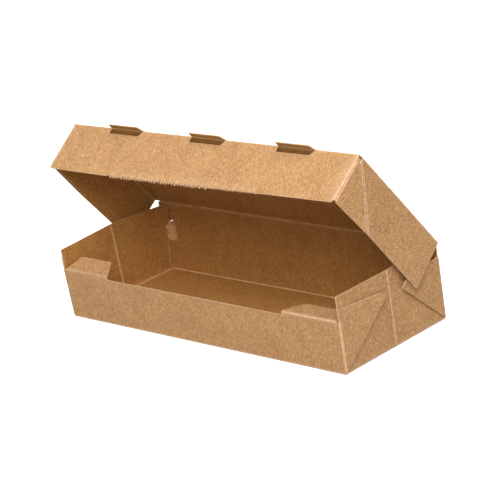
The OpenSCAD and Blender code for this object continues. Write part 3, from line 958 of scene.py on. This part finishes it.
# The tuck folds' pale scores are also their painted highlights: soft on the left, bright on the right.
for name, body, span, fold, start, wear_and_light in (
    ("left_tuck_fold_strip", "left_tuck_flap", left_tuck_x, left_tuck_fold, (700, 20), 0.45),
    ("right_tuck_fold_strip", "right_tuck_flap", right_tuck_x, right_tuck_fold, (900, 20), 1.0),
):
    piece = strip(name, span[0], span[1], over_front_wall(*fold), start, wear_and_light)
    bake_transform(piece)

# Floor and light
# A plain pale table in a white room, lit by soft boxes in front, to the right and behind, all from above.
# The table gives the box less light than it shows the camera, as the photograph's dark inside asks for.
table_half = 6.0
table_seen = (0.86, 0.86, 0.86, 1)
table_bounce = (0.42, 0.42, 0.42, 1)
table_mesh = bpy.data.meshes.new("table")
table_corners = [(-table_half, -table_half, 0), (table_half, -table_half, 0)]
table_corners += [(table_half, table_half, 0), (-table_half, table_half, 0)]
table_mesh.from_pydata(table_corners, [], [(0, 1, 2, 3)])
table = bpy.data.objects.new("table", table_mesh)
bpy.context.scene.collection.objects.link(table)


def seen_directly(tree):
    """1 for rays from the camera, also by way of gloss or glass, and 0 for light that reaches the object."""
    path = tree.nodes.new("ShaderNodeLightPath")
    either = tree.nodes.new("ShaderNodeMath")
    either.operation = "MAXIMUM"
    tree.links.new(path.outputs["Is Camera Ray"], either.inputs[0])
    tree.links.new(path.outputs["Is Glossy Ray"], either.inputs[1])
    any_of = tree.nodes.new("ShaderNodeMath")
    any_of.operation = "MAXIMUM"
    tree.links.new(either.outputs["Value"], any_of.inputs[0])
    tree.links.new(path.outputs["Is Transmission Ray"], any_of.inputs[1])
    return any_of.outputs["Value"]


# The table glows for the camera alone: less by the box, where its shadow shows, and fully half a metre out.
glow_near = 0.62
glow_far = 1.0
glow_from = 0.12
glow_to = 0.5
table_finish = bpy.data.materials.new("pale_table")
table_finish.use_nodes = True
tree = table_finish.node_tree
shader = tree.nodes["Principled BSDF"]
shader.inputs["Roughness"].default_value = 0.9
shader.inputs["Specular IOR Level"].default_value = 0.1
seen = seen_directly(tree)
chosen = tree.nodes.new("ShaderNodeMix")
chosen.data_type = "RGBA"
tree.links.new(seen, chosen.inputs[0])
chosen.inputs[6].default_value = table_bounce
chosen.inputs[7].default_value = table_seen
tree.links.new(chosen.outputs[2], shader.inputs["Base Color"])
place = tree.nodes.new("ShaderNodeTexCoord")
far = tree.nodes.new("ShaderNodeVectorMath")
far.operation = "LENGTH"
tree.links.new(place.outputs["Object"], far.inputs[0])
glow = tree.nodes.new("ShaderNodeMapRange")
glow.interpolation_type = "SMOOTHSTEP"
glow.inputs["From Min"].default_value = glow_from
glow.inputs["From Max"].default_value = glow_to
glow.inputs["To Min"].default_value = glow_near
glow.inputs["To Max"].default_value = glow_far
tree.links.new(far.outputs["Value"], glow.inputs["Value"])
only_seen = tree.nodes.new("ShaderNodeMath")
only_seen.operation = "MULTIPLY"
tree.links.new(glow.outputs["Result"], only_seen.inputs[0])
tree.links.new(seen, only_seen.inputs[1])
tree.links.new(only_seen.outputs["Value"], shader.inputs["Emission Strength"])
shader.inputs["Emission Color"].default_value = (1, 1, 1, 1)
table_mesh.materials.append(table_finish)

room = bpy.data.worlds.new("room")
bpy.context.scene.world = room
room.use_nodes = True
tree = room.node_tree
tree.nodes["Background"].inputs["Color"].default_value = (1, 1, 1, 1)
tree.links.new(seen_directly(tree), tree.nodes["Background"].inputs["Strength"])
box_middle = Vector((0, 0, 0.04))


def soft_box(name, azimuth, elevation, power, distance=2.4, size=1.4):
    """A square lamp that faces the box; azimuth 0 is in front of it and 90 to its right, in degrees."""
    lamp_data = bpy.data.lights.new(name, "AREA")
    lamp_data.size = size
    lamp_data.energy = power
    lamp = bpy.data.objects.new(name, lamp_data)
    turn, rise = math.radians(azimuth), math.radians(elevation)
    way = Vector((math.sin(turn) * math.cos(rise), -math.cos(turn) * math.cos(rise), math.sin(rise)))
    lamp.location = way * distance + box_middle
    lamp.rotation_euler = (-way).to_track_quat("-Z", "Y").to_euler()
    bpy.context.scene.collection.objects.link(lamp)


soft_box("front_lamp", azimuth=0, elevation=45, power=10)
soft_box("corner_lamp", azimuth=45, elevation=45, power=49)
soft_box("corner_low_lamp", azimuth=45, elevation=20, power=13)
soft_box("right_low_lamp", azimuth=90, elevation=20, power=3.5)
soft_box("rear_lamp", azimuth=180, elevation=60, power=32)

# Camera
# It stands where the photograph was taken from: in front, to the right and above the box.
# The photograph is tilted a little, and so is the camera.
camera_place = Vector((765.9, -669.3, 381.7)) * mm
camera_aim = Vector((4.29, 3.11, 36.59)) * mm
camera_roll = math.radians(-10.426)
camera_lens = 152.2
camera_data = bpy.data.cameras.new("camera")
camera_data.lens = camera_lens
camera_data.sensor_width = 36
camera_data.clip_start = 0.05
camera = bpy.data.objects.new("camera", camera_data)
facing = (camera_aim - camera_place).to_track_quat("-Z", "Y")
camera.matrix_world = (
    Matrix.Translation(camera_place) @ facing.to_matrix().to_4x4() @ Matrix.Rotation(camera_roll, 4, "Z")
)
bpy.context.scene.collection.objects.link(camera)
bpy.context.scene.camera = camera
bpy.context.scene.view_settings.view_transform = "Standard"
